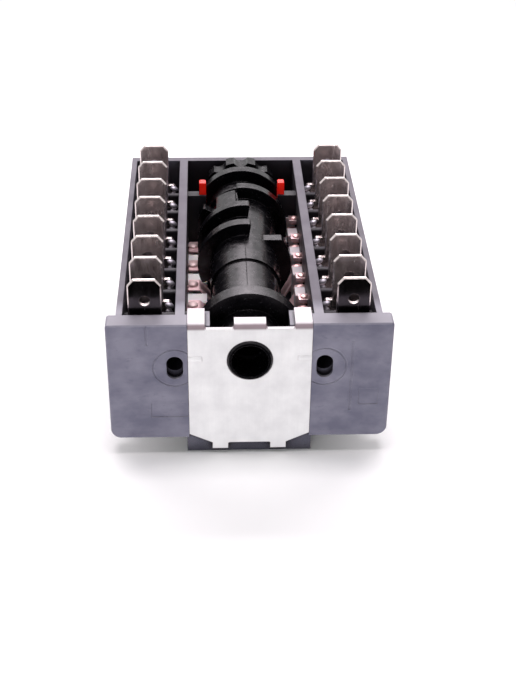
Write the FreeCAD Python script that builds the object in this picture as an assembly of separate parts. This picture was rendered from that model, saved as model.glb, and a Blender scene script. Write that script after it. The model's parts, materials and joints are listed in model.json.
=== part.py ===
import FreeCAD, Part
import math
import os

# Rotary oven selector switch, in millimetres.
# X runs to the right and Y to the back as seen from the spindle end, and Z is up.
# The origin is on the spindle axis, in the front face that goes against the panel.

V = FreeCAD.Vector
BACK = V(0, 1, 0)
UP = V(0, 0, 1)

# Poles: one pair of blade terminals for each, and a cam and leaf for those behind the index disc.
first_contact_pair = 2
pitch = 8.5
first_blade = 5.5
rear_room = 8.0
cam_setback = 2.35

# Housing
flange_width = 53.1
flange_top = 7.86
flange_bottom = -17.7
flange_thickness = 3.8
flange_low_corner = 2.0
flange_top_corner = 0.6
outer_wall = 1.15
trough_half = 12.0
inner_wall = 1.8
housing_length = 73.0
rear_wall = 1.8
left_floor = -6.4
right_floor = 0.9
side_bottom = -9.0
base_bottom = -21.5
base_top = -16.5
partition = 1.3
partition_top = 4.6
edge_round = 0.25

# Screw holes, an oval lead-in over a round core
screw_spacing = 28.0
screw_height = -1.45
screw_core_r = 1.55
screw_oval_height = 5.0
screw_lead_depth = 1.5
screw_depth = 10.0
screw_boss_half = 2.0
screw_boss_top = 3.1
screw_boss_wall = 1.0
pad_gap = 0.6

# Faint moulding relief on the front face
relief = 0.12
ring_r = 4.2
ring_width = 0.35
relief_line = 0.4
relief_line_x = 4.9
long_line_drop = 3.66
long_line_foot = 6.1
short_line = 4.26
left_label = (7.1, 3.3)
left_label_foot = 5.0
right_label = (3.7, 3.6)
right_label_foot = 7.4
right_label_inset = 2.15

# Front plate, folded from sheet
sheet = 0.8
plate_side_gap = 0.47
plate_side_bottom = -16.84
plate_bottom = -18.95
chamfer_foot_x = 7.1
foot_inner_x = 4.1
foot_drop = 1.4
notch_half = 8.35
notch_depth = 0.55
notch_corner = 0.5
tongue_half = 2.95
tongue_length = 2.7
ear_length = 6.0
plate_bend = 0.9
plate_gap = 0.05
emboss_r = 0.9
emboss_height = 0.18
emboss_length = 2.6

# Camshaft
journal_r = 4.25
bearing_gap = 0.08
lip_proud = 0.4
lip_bevel = 0.3
thrust_gap = 0.2
front_hub_r = 6.8
disc_side_gap = 1.7
disc_front = 7.0
disc_width = 3.2
neck_r = 6.8
neck_end_gap = 1.3
hub_r = 7.2
cam_side_gap = 2.2
cam_width = 2.3
cam_corner = 0.45
ledge_height = 6.0
collar_r = 7.8
saddle_leaf_gap = 0.75
collar_width = 2.3
rear_hub_r = 6.0
rear_journal_r = 4.0
rear_journal_proud = 0.5
bore_r = 3.5
bore_depth = 6.0
socket_r = 3.0
socket_flat = 1.5
socket_depth = 10.0
web_pad_step = 0.5
web_pad_angles = (100, 128)

# Index wheel and its sprung ball
positions = 12
wheel_r = 9.4
wheel_width = 3.3
wheel_rear_gap = 1.3
notch_bite = 0.9
ball_r = 1.75
ball_gap = 0.08
ball_tower_r = 3.2
ball_tower_gap = 0.5
spring_pocket = 1.0
spring_wire = 0.35
spring_turns = 5
wire_sides = 6

# Blade terminals
blade_width = 6.3
blade_thickness = 0.8
blade_boss_gap = 0.25
blade_wall_gap = 1.05
blade_top = 14.5
blade_corner_x = 1.1
blade_corner_z = 1.3
blade_bevel = 0.22
blade_hole_r = 1.05
blade_hole_drop = 4.4
foot_inner_gap = 0.9
foot_outer_gap = 0.4
shoulder_z = 4.8
shoulder_round = 0.7
foot_reach = 3.5
short_reach = 1.2
foot_bend = 0.8
tongue_width = 2.3
wall_slot_gap = 0.1
foot_margin = 0.35

# Contact leaves
foot_end_inset = 2.1
leaf_width = 4.2
leaf_thickness = 0.3
leaf_tip_width = 2.6
leaf_cam_gap = 0.05
leaf_root_gap = 0.08
leaf_bend = 0.5
leaf_root_gap_x = 0.2
leaf_bend_inset = 2.6
leaf_low = 0.75
leaf_ramp_x = 5.2
leaf_hump_x = 1.2
leaf_hump_foot_x = 2.6
leaf_foot_inset = 5.1
leaf_foot_drop = 0.55
leaf_knee_inset = 1.6
leaf_knee_z = -3.6
leaf_arm_inset = 1.9
leaf_arm_z = -1.45
leaf_tip_reach = 0.6
window_half = 1.9
window_drop = 2.2
window_rise = 1.0
window_step = 0.8

# Rivets
rivet_bevel = 0.5
contact_inset = 0.55
contact_head_r = 1.05
contact_head = 0.6
shank_r = 0.6
shank_gap = 0.05
clinch_r = 0.8
clinch = 0.45
root_rivet_inset = 1.1
root_head_r = 1.1
root_head = 0.55
root_tail = 0.09
root_lift = 0.12
root_hole_r = 0.95

# Insulating combs that part the leaves
comb_spine = 1.0
comb_gap = 0.05
comb_bottom = -8.6
comb_ledge = 1.0
comb_side_gap = 0.3
comb_foot_gap = 0.15
left_tooth_top = -5.9
left_tooth_length = 4.1
right_tooth_top = 0.5
right_tooth_length = 2.1
right_spine_top = -5.0

# Bearing liner
liner_wall = 1.5
liner_gap = 0.1
liner_top = 8.7
saddle_top = 5.9
saddle_gap = 0.05
saddle_lip = 0.5

# Values that follow from the ones above
blade_room = housing_length - rear_room - first_blade
terminal_pairs = int(blade_room / pitch + 0.001) + 1
saddle_pair = terminal_pairs - 2
blade_places = [first_blade + pitch * n for n in range(terminal_pairs)]
cam_places = [y - cam_setback for y in blade_places]
contact_pairs = range(first_contact_pair, terminal_pairs)
wall_face = trough_half + inner_wall
screw_x = screw_spacing / 2
blade_centre = screw_x + screw_boss_half + blade_boss_gap + blade_width / 2
channel_outer = blade_centre + blade_width / 2 + blade_wall_gap
outer_wall_face = channel_outer + outer_wall
base_inner_x = wall_face + foot_inner_gap
base_outer_x = channel_outer - foot_outer_gap
plate_half = trough_half - plate_side_gap
plate_hole_r = journal_r + bearing_gap
stop_face = sheet + plate_gap
disc_r = trough_half - disc_side_gap
cam_r = trough_half - cam_side_gap
web_pad_r = cam_r - web_pad_step
neck_end = cam_places[first_contact_pair + 1] - cam_width / 2 - neck_end_gap
collar_front = cam_places[saddle_pair] + leaf_width / 2 + saddle_leaf_gap
collar_back = collar_front + collar_width
wheel_back = housing_length - rear_wall - wheel_rear_gap
wheel_front = wheel_back - wheel_width
wheel_middle = (wheel_front + wheel_back) / 2
cam_floor = -(cam_r + leaf_cam_gap)
ball_centre_r = wheel_r - notch_bite + ball_r
ball_bore_r = ball_r + ball_gap
tower_top = -(wheel_r + ball_tower_gap)
spring_floor = base_top - spring_pocket
foot_end_x = trough_half - foot_end_inset
contact_x = trough_half - contact_inset
root_rivet_x = root_rivet_inset - trough_half
leaf_root_x = leaf_root_gap_x - trough_half
leaf_bend_x = leaf_bend_inset - trough_half
leaf_tip_x = trough_half + leaf_tip_reach
leaf_foot = (trough_half - leaf_foot_inset, cam_floor - leaf_foot_drop)
leaf_knee = (trough_half - leaf_knee_inset, leaf_knee_z)
leaf_arm = (trough_half - leaf_arm_inset, leaf_arm_z)
left_tooth_x = trough_half - left_tooth_length
right_tooth_x = trough_half - right_tooth_length
leaf_root_z = left_floor + blade_thickness + leaf_root_gap + leaf_thickness / 2
arm_top = right_floor + blade_thickness


def box(x0, x1, y0, y1, z0, z1):
    return Part.makeBox(x1 - x0, y1 - y0, z1 - z0, V(x0, y0, z0))


def mirror_pair(x0, x1, y0, y1, z0, z1):
    """The same box on the right and on the left."""
    return [box(x0, x1, y0, y1, z0, z1), box(-x1, -x0, y0, y1, z0, z1)]


def rod(r, y0, y1, x=0.0, z=0.0):
    return Part.makeCylinder(r, y1 - y0, V(x, y0, z), BACK)


def post(r, z0, z1, x=0.0, y=0.0):
    return Part.makeCylinder(r, z1 - z0, V(x, y, z0), UP)


def fuse(shapes):
    whole = shapes[0].multiFuse(shapes[1:])
    return whole.removeSplitter()


def group(shapes):
    return Part.makeCompound(shapes)


def outline(points):
    """A flat face through points given in order."""
    return Part.Face(Part.makePolygon(points + [points[0]]))


def front_face(points, y):
    """A face in the plane at y, from points given as (x, z)."""
    return outline([V(x, y, z) for x, z in points])


def edges_along(shape, direction, keep):
    """Straight edges parallel to a direction whose middle point passes the test."""
    found = []
    for edge in shape.Edges:
        if not isinstance(edge.Curve, Part.Line):
            continue
        if abs(edge.Curve.Direction.dot(direction)) > 0.999 and keep(edge.CenterOfMass):
            found.append(edge)
    return found


def strip_face(path, thickness, bend, place):
    """The edge-on outline of a bent strip.

    path lists the corners of its middle line, bend is the middle line's radius there, and
    place turns a pair of plane coordinates into a point of the part.
    """
    corners = [V(a, b, 0) for a, b in path]
    half = thickness / 2
    sides = []
    for side in (half, -half):
        edges = []
        start = None
        for i in range(len(corners) - 1):
            along = (corners[i + 1] - corners[i]).normalize()
            offset = V(-along.y, along.x, 0) * side
            if start is None:
                start = corners[i] + offset
            if i == len(corners) - 2:
                edges.append((start, None, corners[i + 1] + offset))
                break
            ahead = (corners[i + 2] - corners[i + 1]).normalize()
            turn = along.getAngle(ahead)
            back_off = bend * math.tan(turn / 2)
            left_turn = along.x * ahead.y - along.y * ahead.x > 0
            inward = V(-along.y, along.x, 0) * (1 if left_turn else -1)
            centre = corners[i + 1] - along * back_off + inward * bend
            radius = bend - side if left_turn else bend + side
            bend_start = corners[i + 1] - along * back_off + offset
            bend_end = corners[i + 1] + ahead * back_off + V(-ahead.y, ahead.x, 0) * side
            middle = centre + (corners[i + 1] - centre).normalize() * radius
            edges.append((start, None, bend_start))
            edges.append((bend_start, middle, bend_end))
            start = bend_end
        sides.append(edges)
    forward, backward = sides
    lines = [edge_between(a, m, b, place) for a, m, b in forward]
    lines.append(edge_between(forward[-1][2], None, backward[-1][2], place))
    lines += [edge_between(b, m, a, place) for a, m, b in reversed(backward)]
    lines.append(edge_between(backward[0][0], None, forward[0][0], place))
    return Part.Face(Part.Wire(lines))


def edge_between(a, middle, b, place):
    if middle is None:
        return Part.LineSegment(place(a), place(b)).toShape()
    return Part.Arc(place(a), place(middle), place(b)).toShape()


def side_profile(x):
    """Plane coordinates (y, z) at a given x."""
    return lambda p: V(x, p.x, p.y)


def front_profile(y):
    """Plane coordinates (x, z) at a given y."""
    return lambda p: V(p.x, y, p.y)


def make_housing():
    body = fuse(flange_ears() + side_channels() + trough() + partitions() + screw_bosses())
    body = body.cut(group(housing_openings()))
    return body.removeSplitter()


def flange_ears():
    ears = []
    inner = plate_half + plate_gap
    outer = flange_width / 2
    for sign in (1, -1):
        ear = box(inner, outer, 0, flange_thickness, flange_bottom, flange_top)
        low = edges_along(ear, BACK, lambda p: p.x > outer - 0.1 and p.z < 0)
        ear = ear.makeFillet(flange_low_corner, low)
        high = edges_along(ear, BACK, lambda p: p.x > outer - 0.1 and p.z > 0)
        ear = ear.makeFillet(flange_top_corner, high)
        front = [e for e in ear.Edges if e.BoundBox.YMax < 0.01 and e.CenterOfMass.x > inner + 0.1]
        ear = ear.makeChamfer(edge_round, front)
        if sign < 0:
            ear = ear.mirror(V(0, 0, 0), V(1, 0, 0))
        ears.append(ear)
    return ears


def side_channels():
    back = housing_length
    start = flange_thickness - 0.1
    parts = mirror_pair(channel_outer, outer_wall_face, start, back, side_bottom, flange_top)
    parts.append(box(-outer_wall_face, -trough_half, start, back, side_bottom, left_floor))
    parts.append(box(trough_half, outer_wall_face, start, back, side_bottom, right_floor))
    rear = back - rear_wall
    parts.append(box(-outer_wall_face, outer_wall_face, rear, back, side_bottom, flange_top))
    return parts


def trough():
    back = housing_length
    parts = mirror_pair(trough_half, wall_face, stop_face, back, flange_bottom, flange_top)
    parts.append(box(-trough_half, trough_half, stop_face, back, base_bottom, base_top))
    parts.append(box(-wall_face, wall_face, back - rear_wall, back, flange_bottom, flange_top))
    rib_inner = front_hub_r + 0.6
    rib_top = flange_top - sheet - wall_slot_gap
    rib_back = disc_front - 0.6
    for rib in mirror_pair(rib_inner, trough_half, stop_face, rib_back, base_top, rib_top):
        front = edges_along(rib, V(1, 0, 0), lambda p: p.y < stop_face + 0.1 and p.z > 0)
        parts.append(rib.makeChamfer(plate_bend - sheet / 2, front))
    pad_low = screw_height - screw_boss_half - screw_boss_wall
    pad_high = screw_height + screw_boss_half + screw_boss_wall
    pad_back = screw_depth + screw_boss_wall
    parts += mirror_pair(disc_r + pad_gap, trough_half, rib_back, pad_back, pad_low, pad_high)
    comb_front, comb_back = comb_ends()
    ledge_inner = trough_half - comb_spine - comb_gap
    ledge_low = comb_bottom - comb_ledge
    parts += mirror_pair(ledge_inner, trough_half, comb_front, comb_back, ledge_low, comb_bottom)
    parts.append(saddle())
    parts.append(post(ball_tower_r, base_top, tower_top, y=wheel_middle))
    return parts


def saddle():
    """The cross wall with an open seat for the bearing liner and a thin lip in front of it."""
    wall = box(-trough_half, trough_half, collar_front, collar_back, base_top, saddle_top)
    opening_r = collar_r + liner_gap
    seat_r = opening_r + liner_wall + saddle_gap
    wall = wall.cut(open_seat(opening_r, collar_front, collar_back))
    return wall.cut(open_seat(seat_r, collar_front + saddle_lip, collar_back))


def open_seat(r, y0, y1):
    """A round seat that is open at its top."""
    return rod(r, y0, y1).fuse(box(-r, r, y0, y1, 0, saddle_top))


def partitions():
    ribs = []
    for y in blade_places[1:]:
        middle = y - pitch / 2
        y0 = middle - partition / 2
        y1 = middle + partition / 2
        for floor, sign in ((right_floor, 1), (left_floor, -1)):
            x0, x1 = sorted((sign * wall_face, sign * channel_outer))
            rib = box(x0, x1, y0, y1, floor, partition_top)
            top = edges_along(rib, V(1, 0, 0), lambda p: p.z > partition_top - 0.1)
            ribs.append(rib.makeFillet(partition * 0.35, top))
    return ribs


def screw_bosses():
    outer = screw_x + screw_boss_half
    back = screw_depth + screw_boss_wall
    start = flange_thickness - 0.1
    right = box(trough_half, outer, start, back, right_floor, screw_boss_top)
    left = box(-outer, -trough_half, start, back, left_floor, screw_boss_top)
    return [right, left]


def housing_openings():
    cuts = []
    cuts.append(rod(rear_journal_r + bearing_gap, housing_length - rear_wall, housing_length))
    cuts.append(post(ball_bore_r, spring_floor, tower_top, y=wheel_middle))
    for sign in (1, -1):
        cuts += screw_hole(sign * screw_x)
    for n in contact_pairs:
        y = cam_places[n]
        gap = tongue_width / 2 + wall_slot_gap
        low = left_floor - wall_slot_gap
        high = left_floor + blade_thickness + wall_slot_gap
        cuts.append(box(-wall_face, -trough_half, y - gap, y + gap, low, high))
        low = leaf_arm_z - window_drop
        step = right_floor - window_step
        high = arm_top + window_rise
        cuts.append(box(trough_half, wall_face, y - window_half, y + window_half, low, step))
        cuts.append(box(trough_half, wall_face, y - gap, y + gap, step, high))
    cuts += front_relief()
    return cuts


def screw_hole(x):
    core = rod(screw_core_r, 0, screw_depth, x, screw_height)
    reach = screw_oval_height / 2 - screw_core_r
    lead = [rod(screw_core_r, 0, screw_lead_depth, x, screw_height + dz) for dz in (reach, -reach)]
    x0 = x - screw_core_r
    x1 = x + screw_core_r
    z0 = screw_height - reach
    z1 = screw_height + reach
    return [core.multiFuse(lead + [box(x0, x1, 0, screw_lead_depth, z0, z1)]).removeSplitter()]


def front_relief():
    cuts = []
    for sign in (1, -1):
        x = sign * screw_x
        ring = rod(ring_r, 0, relief, x, screw_height)
        cuts.append(ring.cut(rod(ring_r - ring_width, 0, relief, x, screw_height)))
    line_in = screw_x + relief_line_x
    line_out = line_in + relief_line
    low = flange_bottom + long_line_foot
    cuts.append(box(line_in, line_out, 0, relief, low, flange_top - long_line_drop))
    cuts.append(box(-line_out, -line_in, 0, relief, flange_top - short_line, flange_top))
    edge = -(plate_half + plate_gap)
    low = flange_bottom + left_label_foot
    cuts.append(box(edge - left_label[0], edge, 0, relief, low, low + left_label[1]))
    edge = flange_width / 2 - right_label_inset
    low = flange_bottom + right_label_foot
    cuts.append(box(edge - right_label[0], edge, 0, relief, low, low + right_label[1]))
    return cuts


def make_front_plate():
    top = flange_top
    points = [(-plate_half, top), (-plate_half, plate_side_bottom), (-chamfer_foot_x, plate_bottom)]
    points += [(-chamfer_foot_x, plate_bottom - foot_drop), (-foot_inner_x, plate_bottom - foot_drop)]
    points.append((-foot_inner_x, plate_bottom))
    points += [(-x, z) for x, z in reversed(points)]
    panel = front_face(points, 0).extrude(V(0, sheet, 0))
    inner = edges_along(panel, BACK, lambda p: abs(abs(p.x) - foot_inner_x) < 0.1 and p.z > plate_bottom - 0.1)
    panel = panel.makeFillet(0.35, inner)
    panel = panel.cut(group(plate_cuts()))
    pieces = [panel]
    pieces += [folded_ear(x0, x1, length) for x0, x1, length in folded_tops()]
    pieces += plate_embosses()
    whole = fuse(pieces)
    return whole.cut(rod(plate_hole_r, 0, sheet))


def folded_tops():
    return [
        (-plate_half, -notch_half, ear_length),
        (-tongue_half, tongue_half, tongue_length),
        (notch_half, plate_half, ear_length),
    ]


def plate_cuts():
    """Room for the folds along the top edge, and the two notches between them."""
    fold_start = flange_top - plate_bend - sheet / 2
    cuts = [box(x0, x1, 0, sheet, fold_start, flange_top) for x0, x1, length in folded_tops()]
    for sign in (1, -1):
        x0, x1 = sorted((sign * tongue_half, sign * notch_half))
        notch = box(x0, x1, 0, sheet, flange_top - notch_depth - 0.4, flange_top)
        low = edges_along(notch, BACK, lambda p: p.z < flange_top - 0.5)
        cuts.append(notch.makeFillet(notch_corner, low))
    return cuts


def folded_ear(x0, x1, length):
    middle = sheet / 2
    start = flange_top - plate_bend - sheet / 2
    path = [(middle, start), (middle, flange_top - middle), (length, flange_top - middle)]
    face = strip_face(path, sheet, plate_bend - 0.02, side_profile(x0))
    return face.extrude(V(x1 - x0, 0, 0))


def plate_embosses():
    """Two short pressed ridges beside the spindle hole."""
    ridges = []
    for sign in (1, -1):
        x0, x1 = sorted((sign * plate_half, sign * (plate_half - emboss_length)))
        ridge = Part.makeCylinder(emboss_r, x1 - x0, V(x0, emboss_r - emboss_height, 0.5), V(1, 0, 0))
        slab = box(x0, x1, -emboss_height, sheet / 2, -emboss_r, 2 * emboss_r)
        ridges.append(ridge.common(slab))
    return ridges


def make_camshaft():
    shaft = Part.Face(Part.makePolygon(shaft_profile())).revolve(V(0, 0, 0), BACK, 360)
    lobes = []
    for n, hills in zip(contact_pairs, cam_hills()):
        for start, end, ledge in hills:
            lobes.append(cam_lobe(cam_places[n], start, end, ledge))
    y0 = cam_places[saddle_pair - 1] + cam_width / 2 - 0.1
    y1 = cam_places[saddle_pair] - cam_width / 2 + 0.1
    lobes.append(sector(web_pad_r, neck_r - 1, *web_pad_angles, y0).extrude(V(0, y1 - y0, 0)))
    shaft = fuse([shaft] + lobes)
    rim = [e for e in shaft.Edges if abs(e.BoundBox.YMin + lip_proud) < 1e-3 and e.BoundBox.YLength < 1e-3]
    shaft = shaft.makeChamfer(lip_bevel, rim)
    return shaft.cut(group(wheel_notches() + [drive_socket()])).removeSplitter()


def shaft_profile():
    """Half section of the turned form, as (radius, y) steps from the front end."""
    rear_face = housing_length - rear_wall
    steps = [
        (journal_r, -lip_proud, stop_face + thrust_gap),
        (front_hub_r, stop_face + thrust_gap, disc_front),
        (disc_r, disc_front, disc_front + disc_width),
        (neck_r, disc_front + disc_width, neck_end),
        (hub_r, neck_end, collar_front),
        (collar_r, collar_front, collar_back),
        (hub_r, collar_back, wheel_front),
        (wheel_r, wheel_front, wheel_back),
        (rear_hub_r, wheel_back, rear_face - thrust_gap),
        (rear_journal_r, rear_face - thrust_gap, housing_length + rear_journal_proud),
    ]
    points = [V(0, steps[0][1], 0)]
    for r, y0, y1 in steps:
        points += [V(r, y0, 0), V(r, y1, 0)]
    points.append(V(0, steps[-1][2], 0))
    points.append(points[0])
    return points


def cam_hills():
    """Angles of the hills of each cam, from +X towards +Z, with a flat ledge where True."""
    off_hill = (240, 300, False)
    return [
        [off_hill],
        [(235, 305, False)],
        [(82, 205, False), off_hill, (-25, 60, True)],
        [(82, 205, False), off_hill, (-40, 5, False)],
        [(-30, 98, False), (150, 215, False), off_hill],
        [(-10, 190, False), (225, 315, False)],
    ]


def sector(outer, inner, start, end, y):
    """A ring sector in the plane at y."""
    def at(r, angle):
        a = math.radians(angle)
        return V(r * math.cos(a), y, r * math.sin(a))
    middle = (start + end) / 2
    edges = [
        Part.Arc(at(outer, start), at(outer, middle), at(outer, end)).toShape(),
        Part.LineSegment(at(outer, end), at(inner, end)).toShape(),
        Part.Arc(at(inner, end), at(inner, middle), at(inner, start)).toShape(),
        Part.LineSegment(at(inner, start), at(outer, start)).toShape(),
    ]
    return Part.Face(Part.Wire(edges))


def cam_lobe(y, start, end, ledge):
    front = y - cam_width / 2
    lobe = sector(cam_r, neck_r - 1, start, end, front).extrude(V(0, cam_width, 0))
    if ledge:
        lobe = lobe.cut(box(0, cam_r, front, front + cam_width, ledge_height, cam_r))
    tips = edges_along(lobe, BACK, lambda p: math.hypot(p.x, p.z) > cam_r - 0.05)
    return lobe.makeFillet(cam_corner, tips)


def wheel_notches():
    cuts = []
    for n in range(positions):
        a = math.radians(-90 + 360 * n / positions)
        x = ball_centre_r * math.cos(a)
        z = ball_centre_r * math.sin(a)
        cuts.append(rod(ball_bore_r, wheel_front, wheel_back, x, z))
    return cuts


def drive_socket():
    """Round mouth, then a socket with one flat that drives the shaft."""
    mouth = rod(bore_r, -lip_proud, bore_depth)
    deep = rod(socket_r, bore_depth - 0.1, bore_depth + socket_depth)
    reach = socket_r + 1
    deep = deep.cut(box(-reach, reach, 0, bore_depth + socket_depth + 1, socket_flat, reach))
    return mouth.fuse(deep)


def make_terminal(side, n):
    """Blade and foot of one terminal. side is 1 on the right and -1 on the left."""
    y = blade_places[n]
    has_contact = n in contact_pairs
    floor = right_floor if side > 0 else left_floor
    boss_beside = n == 0
    inner = blade_centre - blade_width / 2 if boss_beside else base_inner_x
    outer = blade_centre + blade_width / 2 if boss_beside else base_outer_x
    reach = foot_reach if has_contact else short_reach
    half = blade_thickness / 2
    path = [(y - reach, floor + half), (y, floor + half), (y, shoulder_z)]
    face = strip_face(path, blade_thickness, foot_bend, side_profile(inner))
    base = face.extrude(V(outer - inner, 0, 0))
    if not boss_beside:
        tops = edges_along(base, BACK, lambda p: p.z > shoulder_z - 0.1)
        base = base.makeFillet(shoulder_round, tops)
    pieces = [base, blade(y)]
    if has_contact:
        pieces.append(contact_tongue(side, n, floor))
    whole = fuse(pieces)
    whole = whole.cut(rod(blade_hole_r, y - 1, y + 1, blade_centre, blade_top - blade_hole_drop))
    if side < 0:
        whole = whole.mirror(V(0, 0, 0), V(1, 0, 0))
    return whole


def blade(y):
    x0 = blade_centre - blade_width / 2
    x1 = blade_centre + blade_width / 2
    low = shoulder_z - 1.0
    corner_z = blade_top - blade_corner_z
    points = [(x0, low), (x1, low), (x1, corner_z), (x1 - blade_corner_x, blade_top)]
    points += [(x0 + blade_corner_x, blade_top), (x0, corner_z)]
    tab = front_face(points, y - blade_thickness / 2).extrude(V(0, blade_thickness, 0))
    rims = [e for e in tab.Edges if e.BoundBox.YLength < 0.01 and e.CenterOfMass.z > low + 0.1]
    return tab.makeChamfer(blade_bevel, rims)


def contact_tongue(side, n, floor):
    """The flat tongue that passes through the inner wall to the rivet."""
    y = cam_places[n]
    half = tongue_width / 2
    end = contact_x - clinch_r - foot_margin if side > 0 else foot_end_x
    tongue = box(end, base_inner_x + 1.5, y - half, y + half, floor, floor + blade_thickness)
    rivet_x = contact_x if side > 0 else -root_rivet_x
    return tongue.cut(post(shank_r + shank_gap, floor - 1, floor + 2, rivet_x, y))


def leaf_path():
    """Middle line of a leaf in the plane across the shaft, as (x, z)."""
    hump = cam_floor - leaf_thickness / 2
    valley = hump - leaf_low
    path = [(leaf_root_x, leaf_root_z), (leaf_bend_x, leaf_root_z), (-leaf_ramp_x, valley)]
    path += [(-leaf_hump_foot_x, valley), (-leaf_hump_x, hump), (leaf_hump_x, hump)]
    path.append((leaf_hump_foot_x, valley))
    path += [leaf_foot, leaf_knee, leaf_arm, (leaf_tip_x, leaf_arm_z)]
    return path


def make_leaf(n):
    y = cam_places[n]
    y0 = y - leaf_width / 2
    leaf = strip_face(leaf_path(), leaf_thickness, leaf_bend, front_profile(y0))
    leaf = leaf.extrude(V(0, leaf_width, 0))
    trims = []
    step = (leaf_width - leaf_tip_width) / 2
    tip_start = leaf_arm[0] - 0.6
    low = leaf_knee_z + 0.4
    for side in (y0, y + leaf_width / 2 - step):
        trims.append(box(tip_start, leaf_tip_x + 1, side, side + step, low, 2))
    trims.append(post(root_hole_r, leaf_root_z - 1, leaf_root_z + 1, root_rivet_x, y))
    trims.append(post(shank_r + shank_gap, leaf_arm_z - 1, leaf_arm_z + 1, contact_x, y))
    return leaf.cut(group(trims))


def rivet(x, y, low, high, under, over):
    """A rivet along Z through faces at low and high. under and over are (radius, height) of its ends."""
    under_r, under_h = under
    over_r, over_h = over
    profile = [(0, low - under_h), (under_r - under_h * rivet_bevel, low - under_h)]
    profile += [(under_r, low - under_h * (1 - rivet_bevel)), (under_r, low), (shank_r, low)]
    profile += [(shank_r, high), (over_r, high), (over_r, high + over_h * (1 - rivet_bevel))]
    profile += [(over_r - over_h * rivet_bevel, high + over_h), (0, high + over_h)]
    face = outline([V(x + r, y, z) for r, z in profile])
    return face.revolve(V(x, y, 0), UP, 360)


def make_moving_contact(n):
    low = leaf_arm_z - leaf_thickness / 2
    high = leaf_arm_z + leaf_thickness / 2
    return rivet(contact_x, cam_places[n], low, high, (clinch_r, clinch), (contact_head_r, contact_head))


def make_fixed_contacts():
    head = (contact_head_r, contact_head)
    tail = (clinch_r, clinch)
    return group([rivet(contact_x, cam_places[n], right_floor, arm_top, head, tail) for n in contact_pairs])


def make_root_rivets():
    high = leaf_root_z + leaf_thickness / 2 + root_lift
    tail = (clinch_r, root_tail)
    head = (root_head_r, root_head)
    return group([rivet(root_rivet_x, cam_places[n], left_floor, high, tail, head) for n in contact_pairs])


def comb_ends():
    half = leaf_width / 2 + comb_side_gap
    front = cam_places[first_contact_pair] - half - 1.2
    back = collar_front - 0.1
    return front, back


def make_comb(side):
    """An insulating comb whose teeth stand between the leaves."""
    front, back = comb_ends()
    outer = trough_half - comb_gap
    inner = outer - comb_spine + comb_gap
    spine_top = left_floor - comb_foot_gap if side < 0 else right_spine_top
    tooth_x = left_tooth_x if side < 0 else right_tooth_x
    tooth_top = left_tooth_top if side < 0 else right_tooth_top
    half = leaf_width / 2 + comb_side_gap
    pieces = [box(inner, outer, front, back, comb_bottom, spine_top)]
    starts = [front] + [cam_places[n] + half for n in contact_pairs if cam_places[n] + half < back]
    ends = [cam_places[n] - half for n in contact_pairs if cam_places[n] < back] + [back]
    for y0, y1 in zip(starts, ends):
        tooth = box(tooth_x, outer, y0, y1, comb_bottom, tooth_top)
        if y1 - y0 > 1:
            tops = edges_along(tooth, V(1, 0, 0), lambda p: p.z > tooth_top - 0.1)
            tooth = tooth.makeFillet(0.3, tops)
        pieces.append(tooth)
    comb = fuse(pieces)
    if side < 0:
        comb = comb.mirror(V(0, 0, 0), V(1, 0, 0))
    return comb


def make_bearing_liner():
    """A U-shaped shell that lines the saddle's seat and stands above it on both sides."""
    y0 = collar_front + saddle_lip + saddle_gap
    inner = collar_r + liner_gap
    outer = inner + liner_wall
    solid = rod(outer, y0, collar_back).common(box(-outer, outer, y0, collar_back, -outer, 0))
    solid = solid.fuse(box(-outer, outer, y0, collar_back, 0, liner_top))
    hollow = rod(inner, y0, collar_back).fuse(box(-inner, inner, y0, collar_back, 0, liner_top))
    liner = solid.cut(hollow).removeSplitter()
    tips = edges_along(liner, BACK, lambda p: p.z > liner_top - 0.1)
    return liner.makeFillet(0.3, tips)


def make_ball():
    return Part.makeSphere(ball_r, V(0, wheel_middle, -ball_centre_r))


def spring_corner(coil_r, k):
    a = 2 * math.pi * (k % wire_sides) / wire_sides
    return V(coil_r + spring_wire / 2 * math.cos(a), 0, spring_wire / 2 * math.sin(a))


def make_spring():
    """Compression spring under the ball."""
    coil_r = ball_bore_r - spring_wire / 2 - ball_gap
    low = spring_floor + spring_wire / 2
    drop = math.sqrt((ball_r + spring_wire / 2 + 0.01) ** 2 - coil_r ** 2)
    high = -ball_centre_r - drop
    helix = Part.makeHelix((high - low) / spring_turns, high - low, coil_r)
    corners = [spring_corner(coil_r, k) for k in range(wire_sides + 1)]
    ring = Part.makePolygon(corners)
    coil = Part.Wire(helix.Edges).makePipeShell([ring], True, True)
    coil.translate(V(0, wheel_middle, low))
    return coil


def save(name, shape):
    shape.exportStep("parts/" + name + ".step")


def main():
    os.makedirs("parts", exist_ok=True)
    save("housing", make_housing())
    save("front_plate", make_front_plate())
    save("camshaft", make_camshaft())
    for n in range(terminal_pairs):
        save("left_terminal_%d" % (n + 1), make_terminal(-1, n))
        save("right_terminal_%d" % (n + 1), make_terminal(1, n))
    for number, n in enumerate(contact_pairs, 1):
        save("contact_leaf_%d" % number, make_leaf(n))
        save("moving_contact_%d" % number, make_moving_contact(n))
    save("fixed_contacts", make_fixed_contacts())
    save("leaf_rivets", make_root_rivets())
    save("left_comb", make_comb(-1))
    save("right_comb", make_comb(1))
    save("bearing_liner", make_bearing_liner())
    save("detent_ball", make_ball())
    save("detent_spring", make_spring())


main()
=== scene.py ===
import json
import math

import bmesh
import bpy
from mathutils import Matrix, Vector


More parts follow.
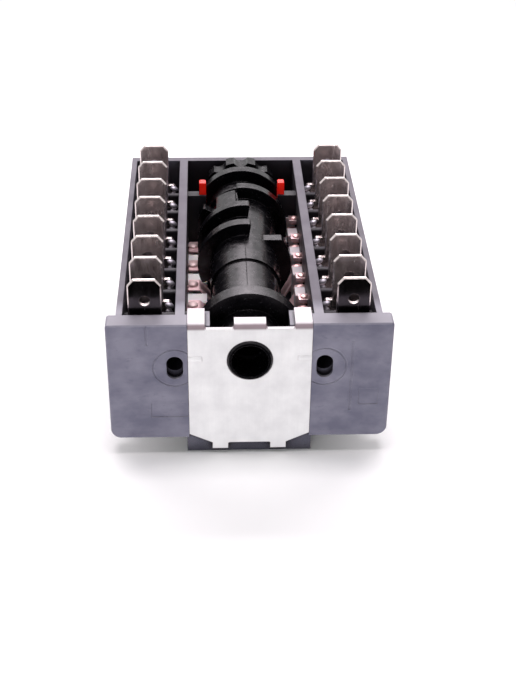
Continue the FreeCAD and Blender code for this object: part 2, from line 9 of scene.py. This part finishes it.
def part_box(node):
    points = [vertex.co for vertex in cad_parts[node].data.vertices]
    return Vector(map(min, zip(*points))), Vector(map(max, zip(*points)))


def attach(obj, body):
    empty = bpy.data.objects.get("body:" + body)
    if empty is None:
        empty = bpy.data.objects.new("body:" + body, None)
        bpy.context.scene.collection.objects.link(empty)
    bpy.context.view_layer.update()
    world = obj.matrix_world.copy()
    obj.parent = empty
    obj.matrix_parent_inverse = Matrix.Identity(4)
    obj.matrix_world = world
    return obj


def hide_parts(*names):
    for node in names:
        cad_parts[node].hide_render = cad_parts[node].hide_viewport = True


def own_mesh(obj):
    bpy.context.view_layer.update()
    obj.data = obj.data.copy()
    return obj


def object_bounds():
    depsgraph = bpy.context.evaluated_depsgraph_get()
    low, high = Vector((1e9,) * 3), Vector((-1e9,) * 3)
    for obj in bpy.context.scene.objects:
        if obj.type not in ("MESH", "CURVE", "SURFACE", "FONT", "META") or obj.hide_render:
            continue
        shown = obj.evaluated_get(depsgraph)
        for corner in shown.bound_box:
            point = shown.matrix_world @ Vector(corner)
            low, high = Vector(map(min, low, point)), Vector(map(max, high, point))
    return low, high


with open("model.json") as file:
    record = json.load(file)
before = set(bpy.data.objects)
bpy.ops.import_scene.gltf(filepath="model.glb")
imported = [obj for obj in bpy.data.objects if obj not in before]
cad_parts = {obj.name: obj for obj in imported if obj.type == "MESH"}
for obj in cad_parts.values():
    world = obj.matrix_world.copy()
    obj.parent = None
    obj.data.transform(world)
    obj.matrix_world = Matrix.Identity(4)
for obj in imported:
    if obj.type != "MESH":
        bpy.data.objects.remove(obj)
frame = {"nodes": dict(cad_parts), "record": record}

cad_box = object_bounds()
NODES = frame["nodes"]
MM = 0.001

# Camera, at the photograph's viewing angle: place in mm, turn in degrees, clipping in metres
CAMERA_AT = (-7.30, -193.96, 129.56)
CAMERA_TURN = (57.0372, -0.6236, -2.1776)
CAMERA_LENS = 65.665
CAMERA_SENSOR = 36.0
CAMERA_NEAR = 0.01
CAMERA_FAR = 20

# Studio: colours, levels, lengths in metres
WHITE = (1, 1, 1)
WARM = (1.0, 0.93, 0.97)
BACKDROP_WHITE = 1.0
FILL_LEVEL = 0.10
FLOOR_TONES = ((0.945, 0.965, 0.955), (0.955, 0.975, 0.965))
FLOOR_HALF = 3.0
FLOOR_FADE = (0.13, 0.30)
CLOTH_TONES = ((0.004, 0.004, 0.004), (0.010, 0.010, 0.010))
# Each dark card: name, place in mm, turn about the X axis in degrees, half sizes in metres
FLAGS = (
    ("floor_flag", (0, -470, -20.5), 0, (0.9, 0.45)),
    ("room_flag", (0, -1400, 500), 90, (1.8, 0.62)),
)

# Places on the part where its tones, its painted light and its painted shade change, in mm
TROUGH_HALF = 12.15
TONGUE_HALF = 12.4
TOPS_FRONT = 5
TOPS_REAR = 9
TROUGH_FOOT = (-18, -15)
FRONT_SKIN = (0.7, 0.5)
FOLD_FOOT = (5.5, 6.5)
SOFT_BORDER = 0.1

# Rivets in mm. An end is (radius, height, crown)
POLES = range(1, 7)
SHANK_R = 0.6
LEAF_THICK = 0.3
LEAF_CLINCH = (0.8, 0.45, 0.36)
CONTACT_HEAD = (1.05, 0.6, 0.30)
FIXED_CLINCH = (0.8, 0.45, 0.38)
ROOT_CLINCH = (0.8, 0.09, 0.05)
ROOT_HEAD = (1.1, 0.55, 0.46)
# Each row: name, node in the frame, end below, end above, slot
RIVET_ROWS = (
    ("fixed_contact_row", "fixed_contacts", CONTACT_HEAD, FIXED_CLINCH, "contact_silver"),
    ("leaf_rivet_row", "leaf_rivets", ROOT_CLINCH, ROOT_HEAD, "rivet_copper"),
)

# Pressed lumps of a terminal in mm: place across and up, half sizes. The lean is in degrees
LUMPED_TERMINALS = range(2, 9)
BLADE_THICK = 0.8
LUMPS = (
    ((15.1, 3.95), (0.95, 0.62, 0.60)),
    ((15.2, 2.55), (0.72, 0.50, 0.62)),
    ((22.85, 4.0), (0.34, 0.24, 0.30)),
)
LUMP_LEAN = 28

# Ridge along the shaft in mm. A stretch is (radius it stands on, start, end)
RIDGE_STRETCHES = ((6.8, 10.3, 26.1), (7.2, 26.3, 34.6))
RIDGE_FOOT_HALF = 0.11
RIDGE_CREST_HALF = 0.02
RIDGE_TALL = 0.07
RIDGE_SUNK = 0.03

# Coil under the ball, in mm and turns
WIRE_R = 0.17
COIL_TURNS = 5.5
FLAT_TURNS = 0.7

# How finely round pieces are divided
TURNED_SIDES = 40
DOME_STEPS = 6
LUMP_SIDES = 28
LUMP_RINGS = 16
COIL_STEPS = 30
WIRE_SIDES = 8

# Materials: samples, the range of nearly all noise, how alike two directions are from flats to
# edges, and the mix node's sockets for colours
BEVEL_SAMPLES = 6
AIR_SAMPLES = 8
NOISE_RANGE = (0.3, 0.7)
EDGE_RANGE = (0.995, 0.90)
MIX_FACTOR, MIX_A, MIX_B, MIX_RESULT = 0, 6, 7, 2


def mm(*values):
    """Numbers in mm, as a vector in metres."""
    return Vector([v * MM for v in values])


def in_mm(box):
    """The two corners of a box in metres, in mm."""
    return [corner / MM for corner in box]


# Materials
def add_node(tree, kind, inputs=None, **settings):
    """Adds a node. inputs gives its sockets values or other nodes' outputs."""
    node = tree.nodes.new(kind)
    for key, value in settings.items():
        setattr(node, key, value)
    for key, value in (inputs or {}).items():
        if isinstance(value, bpy.types.NodeSocket):
            tree.links.new(value, node.inputs[key])
        else:
            node.inputs[key].default_value = value
    return node


def combine(tree, operation, a, b):
    """Two outputs put through one operation of the math node."""
    return add_node(tree, "ShaderNodeMath", {0: a, 1: b}, operation=operation).outputs[0]


def opaque(colour):
    """A colour with its alpha. Another node's output stays as it is."""
    return (*colour, 1) if isinstance(colour, (tuple, list)) else colour


class Graph:
    """A small helper that builds one node material."""

    def __init__(self, name):
        self.material = bpy.data.materials.new(name)
        self.material.use_nodes = True
        self.tree = self.material.node_tree
        self.shader = next(n for n in self.tree.nodes if n.type == "BSDF_PRINCIPLED")
        self.place = self.add("ShaderNodeTexCoord").outputs["Object"]

    def add(self, kind, inputs=None, **settings):
        return add_node(self.tree, kind, inputs, **settings)

    def scaled(self, scale, stretch=(1, 1, 1)):
        """Object coordinates in metres, multiplied by the scale and along each axis by the stretch."""
        inputs = {"Vector": self.place, "Scale": [scale * s for s in stretch]}
        return self.add("ShaderNodeMapping", inputs).outputs["Vector"]

    def noise(self, scale, detail=3.0, rough=0.55, stretch=(1, 1, 1)):
        """Cloudy random values."""
        inputs = {"Vector": self.scaled(scale, stretch), "Scale": 1.0, "Detail": detail, "Roughness": rough}
        return self.add("ShaderNodeTexNoise", inputs).outputs["Fac"]

    def cells(self, scale):
        """How far the nearest of many scattered points is."""
        inputs = {"Vector": self.scaled(scale), "Scale": 1.0}
        return self.add("ShaderNodeTexVoronoi", inputs).outputs["Distance"]

    def ramp(self, source, low, high, start=0.0, end=1.0):
        """A value that goes from start to end while the source goes from low to high."""
        inputs = {"Value": source, "From Min": low, "From Max": high, "To Min": start, "To Max": end}
        return self.add("ShaderNodeMapRange", inputs).outputs["Result"]

    def wander(self, scale, start=0.0, end=1.0, detail=3.0):
        """Noise that wanders between start and end."""
        return self.ramp(self.noise(scale, detail), *NOISE_RANGE, start, end)

    def mix(self, factor, a, b):
        """A colour between a and b. Each is a colour or another node's output."""
        inputs = {MIX_FACTOR: factor, MIX_A: opaque(a), MIX_B: opaque(b)}
        return self.add("ShaderNodeMix", inputs, data_type="RGBA").outputs[MIX_RESULT]

    def times(self, first, *others):
        """The product of two or more values."""
        for other in others:
            first = combine(self.tree, "MULTIPLY", first, other)
        return first

    def larger(self, a, b):
        return combine(self.tree, "MAXIMUM", a, b)

    def rounded(self, radius):
        """The surface's direction as if its edges were rounded to the radius in mm."""
        bevel = self.add("ShaderNodeBevel", {"Radius": radius * MM}, samples=BEVEL_SAMPLES)
        return bevel.outputs["Normal"]

    def direction(self):
        """The surface's own direction."""
        return self.add("ShaderNodeNewGeometry").outputs["Normal"]

    def edge(self, radius):
        """1 on edges sharper than the radius, 0 on flats."""
        inputs = {0: self.rounded(radius), 1: self.direction()}
        likeness = self.add("ShaderNodeVectorMath", inputs, operation="DOT_PRODUCT").outputs["Value"]
        return self.ramp(likeness, *EDGE_RANGE)

    def one_axis(self, vector, axis):
        return self.add("ShaderNodeSeparateXYZ", {0: vector}).outputs[axis]

    def along(self, axis):
        """The place along an axis of the part, in mm."""
        return self.one_axis(self.scaled(1 / MM), axis)

    def facing(self, axis):
        """How far a face points along an axis of the part, from -1 to 1."""
        return self.one_axis(self.direction(), axis)

    def within(self, axis, reach):
        """1 between minus and plus the reach along an axis, in mm, else 0."""
        place = self.along(axis)
        above = self.ramp(place, -reach - SOFT_BORDER, -reach + SOFT_BORDER)
        below = self.ramp(place, reach + SOFT_BORDER, reach - SOFT_BORDER)
        return self.times(above, below)

    def open_air(self, distance):
        """1 on open faces, less the deeper a face lies in a recess of about the distance in mm."""
        inputs = {"Distance": distance * MM}
        return self.add("ShaderNodeAmbientOcclusion", inputs, samples=AIR_SAMPLES).outputs["AO"]

    def bump(self, layers, soft):
        """layers is a list of (height source, distance in mm). soft rounds the edges, in mm."""
        normal = self.rounded(soft)
        for source, distance in layers:
            inputs = {"Strength": 1.0, "Distance": distance * MM, "Height": source, "Normal": normal}
            normal = self.add("ShaderNodeBump", inputs).outputs["Normal"]
        self.tree.links.new(normal, self.shader.inputs["Normal"])

    def colour(self, source):
        self.tree.links.new(source, self.shader.inputs["Base Color"])

    def roughness(self, source):
        self.tree.links.new(source, self.shader.inputs["Roughness"])

    def value(self, key, number):
        self.shader.inputs[key].default_value = number


def moulded_grey():
    """Blue-grey moulded body: cloudy flow marks, faint stains, fine grain, and paler edges that are partly
    wear and partly a painted highlight.

    Its tops carry painted light and shade: paler at the near end and darker behind. Painted shade makes the
    trough and the deep recesses near black.
    """
    cloud_tones = ((0.102, 0.100, 0.141), (0.169, 0.163, 0.209))
    stain_tone = (0.082, 0.079, 0.116)
    edge_wear_and_highlight_tone = (0.42, 0.40, 0.45)
    painted_rear_top_shade = (0.092, 0.082, 0.098)
    painted_front_top_light = (0.275, 0.268, 0.300)
    painted_trough_shade_tone = (0.012, 0.010, 0.013)
    painted_recess_shade_tone = (0.010, 0.009, 0.012)
    g = Graph("housing_plastic")
    clouds = g.ramp(g.noise(115, detail=4, rough=0.58, stretch=(1, 1, 1.5)), 0.36, 0.66)
    base = g.mix(clouds, *cloud_tones)
    stains = g.ramp(g.noise(420, detail=5, rough=0.65, stretch=(1, 1, 1.7)), 0.58, 0.72, end=0.55)
    base = g.mix(stains, base, stain_tone)
    # Paler edges: partly wear, partly a painted highlight along the edges
    edge_wear_and_highlight_share = g.ramp(g.noise(900), 0.35, 0.7, end=0.25)
    base = g.mix(g.times(g.edge(0.22), edge_wear_and_highlight_share), base, edge_wear_and_highlight_tone)
    # Painted light and shade on the upward faces: paler at the near end, darker behind
    upward = g.ramp(g.facing("Z"), 0.6, 0.9, end=0.8)
    depth = g.along("Y")
    base = g.mix(g.times(upward, g.ramp(depth, TOPS_FRONT, TOPS_REAR)), base, painted_rear_top_shade)
    base = g.mix(g.times(upward, g.ramp(depth, TOPS_REAR, TOPS_FRONT)), base, painted_front_top_light)
    air = g.open_air(9)
    # Painted shade: the trough goes near black behind the near end, less so low down
    trough = g.times(g.within("X", TROUGH_HALF), g.ramp(depth, TOPS_FRONT, TOPS_REAR, end=0.85),
                     g.ramp(air, 0.96, 0.86), g.ramp(g.along("Z"), *TROUGH_FOOT))
    base = g.mix(trough, base, painted_trough_shade_tone)
    # Painted shade: faces deep in recesses go near black; a thin strip at the very near end is spared
    light = g.larger(g.ramp(air, 0.42, 0.80), g.ramp(depth, *FRONT_SKIN))
    g.colour(g.mix(light, painted_recess_shade_tone, base))
    g.roughness(g.wander(260, 0.40, 0.60, detail=4))
    g.bump([(g.noise(150, detail=2), 0.05), (g.noise(2600, detail=2), 0.012)], soft=0.18)
    g.value("Specular IOR Level", 0.26)
    return g.material


def black_shaft():
    """Black satin moulding with fine grain, faint flow marks and a few pale specks of dust."""
    flow_tones = ((0.0006, 0.0006, 0.0009), (0.0020, 0.0019, 0.0026))
    dust_tone = (0.16, 0.155, 0.17)
    g = Graph("shaft_plastic")
    base = g.mix(g.ramp(g.noise(300, detail=4, rough=0.6), 0.35, 0.7), *flow_tones)
    specks = g.ramp(g.cells(1500), 0.13, 0.06, end=0.35)
    g.colour(g.mix(specks, base, dust_tone))
    g.roughness(g.wander(700, 0.15, 0.31, detail=4))
    g.bump([(g.noise(240, detail=2), 0.03), (g.noise(2400), 0.005)], soft=0.15)
    g.value("Specular IOR Level", 0.31)
    g.value("Specular Tint", (1.0, 0.93, 1.0, 1))
    return g.material


def zinc_plate():
    """Bright zinc-plated sheet: pale, softly mottled, with faint rolling lines, and a painted reflection
    that darkens its edges.

    Painted shade darkens the bends of the folds at its top.
    """
    sheet_tones = ((0.60, 0.59, 0.605), (0.71, 0.70, 0.71))
    line_tone = (0.55, 0.53, 0.55)
    painted_edge_tone = (0.36, 0.27, 0.30)
    painted_fold_shade_tone = (0.17, 0.115, 0.135)
    g = Graph("plate_steel")
    base = g.mix(g.ramp(g.noise(220, detail=4), 0.35, 0.7), *sheet_tones)
    lines = g.ramp(g.noise(900, rough=0.6, stretch=(3.5, 1, 0.12)), 0.35, 0.75)
    base = g.mix(g.ramp(lines, 0, 1, end=0.15), base, line_tone)
    # Painted reflection: edges darker and pinkish
    base = g.mix(g.ramp(g.edge(0.14), 0, 1, end=0.6), base, painted_edge_tone)
    upward = g.facing("Z")
    # Painted shade on the tilted faces of the bends near the top
    fold = g.times(g.ramp(upward, 0.06, 0.30), g.ramp(upward, 0.96, 0.75), g.ramp(g.along("Z"), *FOLD_FOOT))
    g.colour(g.mix(g.ramp(fold, 0, 1, end=0.85), base, painted_fold_shade_tone))
    g.roughness(g.ramp(lines, 0, 1, 0.44, 0.58))
    g.bump([(g.noise(110, detail=2), 0.05), (lines, 0.006)], soft=0.12)
    g.value("Metallic", 0.10)
    g.value("Specular IOR Level", 0.25)
    return g.material


def tinned_blade(name, metallic, painted_front_shade=None):
    """Tinned terminal: warm grey metal with soft upright smears, darker spots and a painted highlight on its
    edges.

    It is rosier and duller on the tongues that reach into the trough. painted_front_shade, where given, is a
    darker tone painted as shade on the faces that point towards -Y.
    """
    dark, pale = (0.56, 0.485, 0.48), (0.74, 0.665, 0.66)
    tongue_tones = ((0.34, 0.20, 0.22), (0.62, 0.44, 0.45))
    painted_edge_tone = (0.86, 0.78, 0.76)
    spot_share = 0.68
    g = Graph(name)
    smears = g.ramp(g.noise(620, detail=4, rough=0.6, stretch=(1.6, 1, 0.35)), 0.3, 0.72)
    spots = g.ramp(g.noise(1500), 0.62, 0.74, end=0.6)
    base = g.mix(spots, g.mix(smears, dark, pale), [spot_share * v for v in dark])
    if painted_front_shade:
        # Painted shade: faces pointing towards -Y take the darker tone
        base = g.mix(g.ramp(g.facing("Y"), -0.75, -0.95), base, painted_front_shade)
    inside = g.within("X", TONGUE_HALF)
    base = g.mix(inside, base, g.mix(smears, *tongue_tones))
    # Painted highlight: edges lightened
    g.colour(g.mix(g.edge(0.12), base, painted_edge_tone))
    g.roughness(g.larger(g.ramp(smears, 0, 1, 0.15, 0.30), g.ramp(inside, 0, 1, end=0.42)))
    g.bump([(g.noise(330), 0.035), (smears, 0.008)], soft=0.08)
    g.value("Metallic", metallic)
    return g.material


def bright_metal(name, dark, pale, rough, metallic):
    """A small stamped or turned metal piece, in two tones."""
    g = Graph(name)
    g.colour(g.mix(g.wander(900), dark, pale))
    g.roughness(g.wander(1300, *rough))
    g.bump([(g.noise(700, detail=2), 0.015)], soft=0.06)
    g.value("Metallic", metallic)
    return g.material


def nylon(name, dark, pale):
    """Natural nylon: milky, slightly uneven, with a soft sheen."""
    g = Graph(name)
    g.colour(g.mix(g.wander(260, detail=4), dark, pale))
    g.roughness(g.wander(900, 0.38, 0.55))
    g.bump([(g.noise(1400, detail=2), 0.012)], soft=0.12)
    g.value("Subsurface Weight", 0.15)
    g.value("Subsurface Scale", 0.0008)
    return g.material


def red_liner():
    """Glossy red bearing shell."""
    red_tones = ((0.80, 0.008, 0.004), (0.95, 0.020, 0.008))
    g = Graph("liner_plastic")
    g.colour(g.mix(g.wander(500), *red_tones))
    g.roughness(g.wander(900, 0.28, 0.40))
    g.bump([(g.noise(1200, detail=2), 0.012)], soft=0.12)
    return g.material


def seen_directly(tree):
    """1 for rays from the camera, in gloss and through glass, else 0."""
    path = add_node(tree, "ShaderNodeLightPath")
    level = path.outputs["Is Camera Ray"]
    for kind in ("Is Glossy Ray", "Is Transmission Ray"):
        level = combine(tree, "MAXIMUM", level, path.outputs[kind])
    return level


def pale_floor():
    """Pale paper sweep: it keeps the shadow near the part and goes over to white further out."""
    g = Graph("floor_paper")
    g.colour(g.mix(g.wander(30, detail=2), *FLOOR_TONES))
    g.roughness(g.wander(60, 0.85, 0.95, detail=2))
    g.value("Specular IOR Level", 0.1)
    away = g.add("ShaderNodeVectorMath", {0: g.place}, operation="LENGTH").outputs["Value"]
    share = g.times(g.ramp(away, *FLOOR_FADE), seen_directly(g.tree))
    white = g.add("ShaderNodeEmission").outputs[0]
    blend = g.add("ShaderNodeMixShader", {0: share, 1: g.shader.outputs[0], 2: white}).outputs[0]
    end = next(n for n in g.tree.nodes if n.type == "OUTPUT_MATERIAL")
    g.tree.links.new(blend, end.inputs["Surface"])
    return g.material


MATERIALS = {
    "housing_plastic": moulded_grey(),
    "shaft_plastic": black_shaft(),
    "plate_steel": zinc_plate(),
    "terminal_metal": tinned_blade("terminal_metal", 0.93),
    # The first terminals: a copy with painted shade on their outer faces
    "front_terminal_metal": tinned_blade("front_terminal_metal", 1.0, painted_front_shade=(0.16, 0.145, 0.15)),
    "liner_plastic": red_liner(),
}

# Each metal: dark tone, pale tone, range of roughness, how metallic it is
SMALL_METALS = {
    "pip_metal": ((0.42, 0.40, 0.46), (0.58, 0.56, 0.62), (0.44, 0.58), 0.8),
    "leaf_copper": ((0.86, 0.56, 0.58), (0.95, 0.70, 0.71), (0.40, 0.55), 0.35),
    "contact_silver": ((0.52, 0.28, 0.28), (0.82, 0.58, 0.56), (0.34, 0.48), 0.85),
    "rivet_copper": ((0.84, 0.60, 0.60), (0.94, 0.76, 0.75), (0.45, 0.60), 0.35),
    "ball_steel": ((0.62, 0.62, 0.64), (0.75, 0.75, 0.77), (0.06, 0.12), 1.0),
    "spring_steel": ((0.32, 0.32, 0.34), (0.5, 0.5, 0.52), (0.25, 0.4), 1.0),
}
for name, look in SMALL_METALS.items():
    MATERIALS[name] = bright_metal(name, *look)

# Each nylon: dark tone, pale tone
NYLONS = {
    "comb_plastic": ((0.93, 0.89, 0.89), (0.98, 0.955, 0.95)),
    # A darker copy of the comb's nylon, painted shade for the right comb
    "painted_shade_comb_plastic": ((0.42, 0.37, 0.39), (0.56, 0.51, 0.53)),
}
for name, tones in NYLONS.items():
    MATERIALS[name] = nylon(name, *tones)

# Pieces with a tone of their own within their kind of material
TONES = {
    "left_terminal_1": "front_terminal_metal",
    "right_terminal_1": "front_terminal_metal",
    "right_comb": "painted_shade_comb_plastic",
}


def dress(piece, tone):
    piece.data.materials.clear()
    piece.data.materials.append(MATERIALS[tone])


# Making of meshes and objects
def finished_mesh(name, bm):
    """Writes the faces that were made in bm to a new mesh, and frees bm."""
    mesh = bpy.data.meshes.new(name)
    bm.to_mesh(mesh)
    bm.free()
    return mesh


def add_object(name, data):
    """Puts a mesh, lamp or camera into the scene."""
    thing = bpy.data.objects.new(name, data)
    bpy.context.scene.collection.objects.link(thing)
    return thing


def new_piece(name, mesh_maker, body, slot, replaced=(), smooth=True, tone=None):
    """Makes a mesh piece, gives it its material and lets it ride on its body."""
    bm = bmesh.new()
    mesh_maker(bm)
    bmesh.ops.recalc_face_normals(bm, faces=bm.faces)
    piece = add_object(name, finished_mesh(name, bm))
    for face in piece.data.polygons:
        face.use_smooth = smooth
    dress(piece, tone or slot)
    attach(piece, body)
    if replaced:
        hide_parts(*replaced)
    return piece


def turned(bm, profile, centre):
    """Turns a (radius, height) profile about an upright axis through centre. Sizes in mm."""
    rings = []
    for r, h in profile:
        ring = []
        for k in range(TURNED_SIDES if r else 1):
            a = 2 * math.pi * k / TURNED_SIDES
            spot = Vector(centre) + Vector((r * math.cos(a), r * math.sin(a), h))
            ring.append(bm.verts.new(spot * MM))
        rings.append(ring)
    for low, high in zip(rings, rings[1:]):
        for k in range(TURNED_SIDES):
            n = (k + 1) % TURNED_SIDES
            corners = [low[k % len(low)], low[n % len(low)], high[n % len(high)], high[k % len(high)]]
            corners = list(dict.fromkeys(corners))
            if len(corners) > 2:
                bm.faces.new(corners)


def skin(bm, rings):
    """Joins rings of equally many points into a closed tube with flat ends."""
    for low, high in zip(rings, rings[1:]):
        for k in range(len(low)):
            n = (k + 1) % len(low)
            bm.faces.new([low[k], low[n], high[n], high[k]])
    bm.faces.new(rings[0])
    bm.faces.new(list(reversed(rings[-1])))


# Small pieces
def domed(r, height, crown):
    """Outline of a rivet's end, from its rim at height 0 to its crown, as (radius, height)."""
    straight = height - crown
    points = [(r, 0), (r, straight)]
    for k in range(1, DOME_STEPS):
        a = math.pi / 2 * k / DOME_STEPS
        points.append((r * math.cos(a), straight + crown * math.sin(a)))
    return points + [(0, height)]


def rivet_profile(grip, under, over):
    """Outline of a rivet with its grip between the end under it and the end over it."""
    below = [(r, -h) for r, h in reversed(domed(*under))]
    above = [(r, grip + h) for r, h in domed(*over)]
    return below + [(SHANK_R, 0), (SHANK_R, grip)] + above


def moving_rivets():
    """Smooth rounded rivets on the leaves in place of the faceted ones, at the same seats and sizes."""
    profile = rivet_profile(LEAF_THICK, LEAF_CLINCH, CONTACT_HEAD)
    for n in POLES:
        low, high = in_mm(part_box("moving_contact_%d" % n))
        seat = ((low.x + high.x) / 2, (low.y + high.y) / 2, low.z + LEAF_CLINCH[1])
        new_piece("silver_contact_%d" % n, lambda bm: turned(bm, profile, seat),
                  "leaf_%d" % n, "contact_silver", ("moving_contact_%d" % n,))


def rivet_rows():
    """The same for the two rows of rivets that the base carries."""
    first = in_mm(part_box("moving_contact_1"))
    last = in_mm(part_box("moving_contact_6"))
    start = (first[0].y + first[1].y) / 2
    step = (last[0].y - first[0].y) / (len(POLES) - 1)
    for name, node, under, over, slot in RIVET_ROWS:
        low, high = in_mm(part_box(node))
        x = (low.x + high.x) / 2
        seat = low.z + under[1]
        profile = rivet_profile(high.z - over[1] - seat, under, over)

        def row(bm):
            for k in range(len(POLES)):
                turned(bm, profile, (x, start + step * k, seat))
        new_piece(name, row, "base", slot, (node,))


def pips():
    """Pressed lumps on the terminals: two between blade and inner wall, a small one outside."""
    for side, sign in (("left", -1), ("right", 1)):
        lean = Matrix.Rotation(math.radians(-LUMP_LEAN * sign), 4, "Y")
        for n in LUMPED_TERMINALS:
            face_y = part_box("%s_terminal_%d" % (side, n))[1].y / MM - BLADE_THICK

            def lumps(bm):
                for (x, z), half in LUMPS:
                    place = Matrix.Translation(mm(sign * x, face_y, z)) @ lean
                    place = place @ Matrix.Diagonal((*mm(*half), 1))
                    bmesh.ops.create_uvsphere(bm, u_segments=LUMP_SIDES, v_segments=LUMP_RINGS, radius=1,
                                              matrix=place)
            new_piece("%s_shoulder_pips_%d" % (side, n), lumps, "base", "terminal_metal", tone="pip_metal")


def parting_line():
    """The fine ridge that the mould's halves leave along the shaft, above and below."""
    def ridges(bm):
        for top in (1, -1):
            for r, start, end in RIDGE_STRETCHES:
                foot, crest = r - RIDGE_SUNK, r + RIDGE_TALL
                corners = [(-RIDGE_FOOT_HALF, foot), (RIDGE_FOOT_HALF, foot),
                           (RIDGE_CREST_HALF, crest), (-RIDGE_CREST_HALF, crest)]
                skin(bm, [[bm.verts.new(mm(x * top, y, z * top)) for x, z in corners] for y in (start, end)])
    new_piece("parting_line", ridges, "camshaft", "shaft_plastic", smooth=False)


def coil_spring():
    """Round-wire spring under the ball, with flat end turns."""
    low, high = in_mm(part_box("detent_spring"))
    y = (low.y + high.y) / 2
    r = (high.x - low.x) / 2 - WIRE_R
    flat = FLAT_TURNS / COIL_TURNS
    count = int(COIL_TURNS * COIL_STEPS)

    def climb(t):
        rise = min(max((t - flat) / (1 - 2 * flat), 0), 1)
        return low.z + WIRE_R + (high.z - low.z - 2 * WIRE_R) * rise

    def coil(bm):
        rings = []
        for k in range(count + 1):
            t = k / count
            a = 2 * math.pi * COIL_TURNS * t
            out = Vector((math.cos(a), math.sin(a), 0))
            centre = Vector((0, y, climb(t))) + out * r
            ring = []
            for s in range(WIRE_SIDES):
                b = 2 * math.pi * s / WIRE_SIDES
                spot = centre + out * WIRE_R * math.cos(b) + Vector((0, 0, WIRE_R * math.sin(b)))
                ring.append(bm.verts.new(spot * MM))
            rings.append(ring)
        skin(bm, rings)
    piece = new_piece("coil_spring", coil, "base", "spring_steel", ("detent_spring",))
    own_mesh(piece)


# Studio
def add_camera():
    data = bpy.data.cameras.new("camera")
    data.lens = CAMERA_LENS
    data.sensor_width = CAMERA_SENSOR
    data.sensor_fit = "AUTO"
    data.clip_start = CAMERA_NEAR
    data.clip_end = CAMERA_FAR
    camera = add_object("camera", data)
    camera.location = mm(*CAMERA_AT)
    camera.rotation_euler = [math.radians(a) for a in CAMERA_TURN]
    bpy.context.scene.camera = camera


def flat_sheet(name, half, material):
    """A flat square sheet that reaches half metres each way from its middle."""
    bm = bmesh.new()
    bmesh.ops.create_grid(bm, x_segments=1, y_segments=1, size=half)
    sheet = add_object(name, finished_mesh(name, bm))
    sheet.data.materials.append(material)
    return sheet


def add_floor():
    floor = flat_sheet("floor", FLOOR_HALF, pale_floor())
    floor.location = (0, 0, cad_box[0][2])


def add_flags():
    """Dark cards on the camera's side, seen only in gloss, as the dark room behind a camera is."""
    g = Graph("flag_cloth")
    g.colour(g.mix(g.noise(60), *CLOTH_TONES))
    g.roughness(g.ramp(g.noise(200), 0, 1, 0.9, 1.0))
    g.value("Specular IOR Level", 0.0)
    for name, at, turn, size in FLAGS:
        flag = flat_sheet(name, 1.0, g.material)
        flag.scale = (*size, 1)
        flag.rotation_euler = (math.radians(turn), 0, 0)
        flag.location = mm(*at)
        flag.visible_camera = False
        flag.visible_diffuse = False
        flag.visible_shadow = False


def add_world():
    """A weak even light all round, which the camera and gloss see as a white backdrop."""
    world = bpy.data.worlds.new("world")
    bpy.context.scene.world = world
    world.use_nodes = True
    tree = world.node_tree
    tree.nodes.clear()
    levels = {"Value": seen_directly(tree), "To Min": FILL_LEVEL, "To Max": BACKDROP_WHITE}
    level = add_node(tree, "ShaderNodeMapRange", levels).outputs["Result"]
    sky = add_node(tree, "ShaderNodeBackground", {"Color": opaque(WHITE), "Strength": level})
    add_node(tree, "ShaderNodeOutputWorld", {"Surface": sky.outputs["Background"]})


def add_lamp(name, at, target, size, watts, tint=WHITE, in_gloss=True):
    """A rectangular softbox. Positions in mm, size in metres."""
    data = bpy.data.lights.new(name, "AREA")
    data.color = tint
    data.shape = "RECTANGLE"
    data.size, data.size_y = size
    data.energy = watts
    lamp = add_object(name, data)
    lamp.location = mm(*at)
    lamp.rotation_euler = (mm(*target) - lamp.location).to_track_quat("-Z", "Y").to_euler()
    lamp.visible_camera = False
    lamp.visible_glossy = in_gloss


def light_studio():
    add_world()
    add_lamp("back_softbox", (0, 590, 500), (0, 30, 0), size=(1.5, 0.30), watts=10.5, tint=WARM)
    add_lamp("top_softbox", (0, 40, 640), (0, 20, 0), size=(0.40, 0.30), watts=3.3, tint=WARM)
    add_lamp("front_fill", (-160, -650, 72), (0, 0, 0), size=(0.7, 0.16), watts=4.0, in_gloss=False)
    add_flags()


# The whole scene
for entry in frame["record"]["subparts"]:
    dress(NODES[entry["node"]], TONES.get(entry["node"], entry["material_slot"]))

moving_rivets()
rivet_rows()
pips()
parting_line()
coil_spring()
add_camera()
add_floor()
light_studio()
bpy.context.scene.view_settings.view_transform = "Standard"
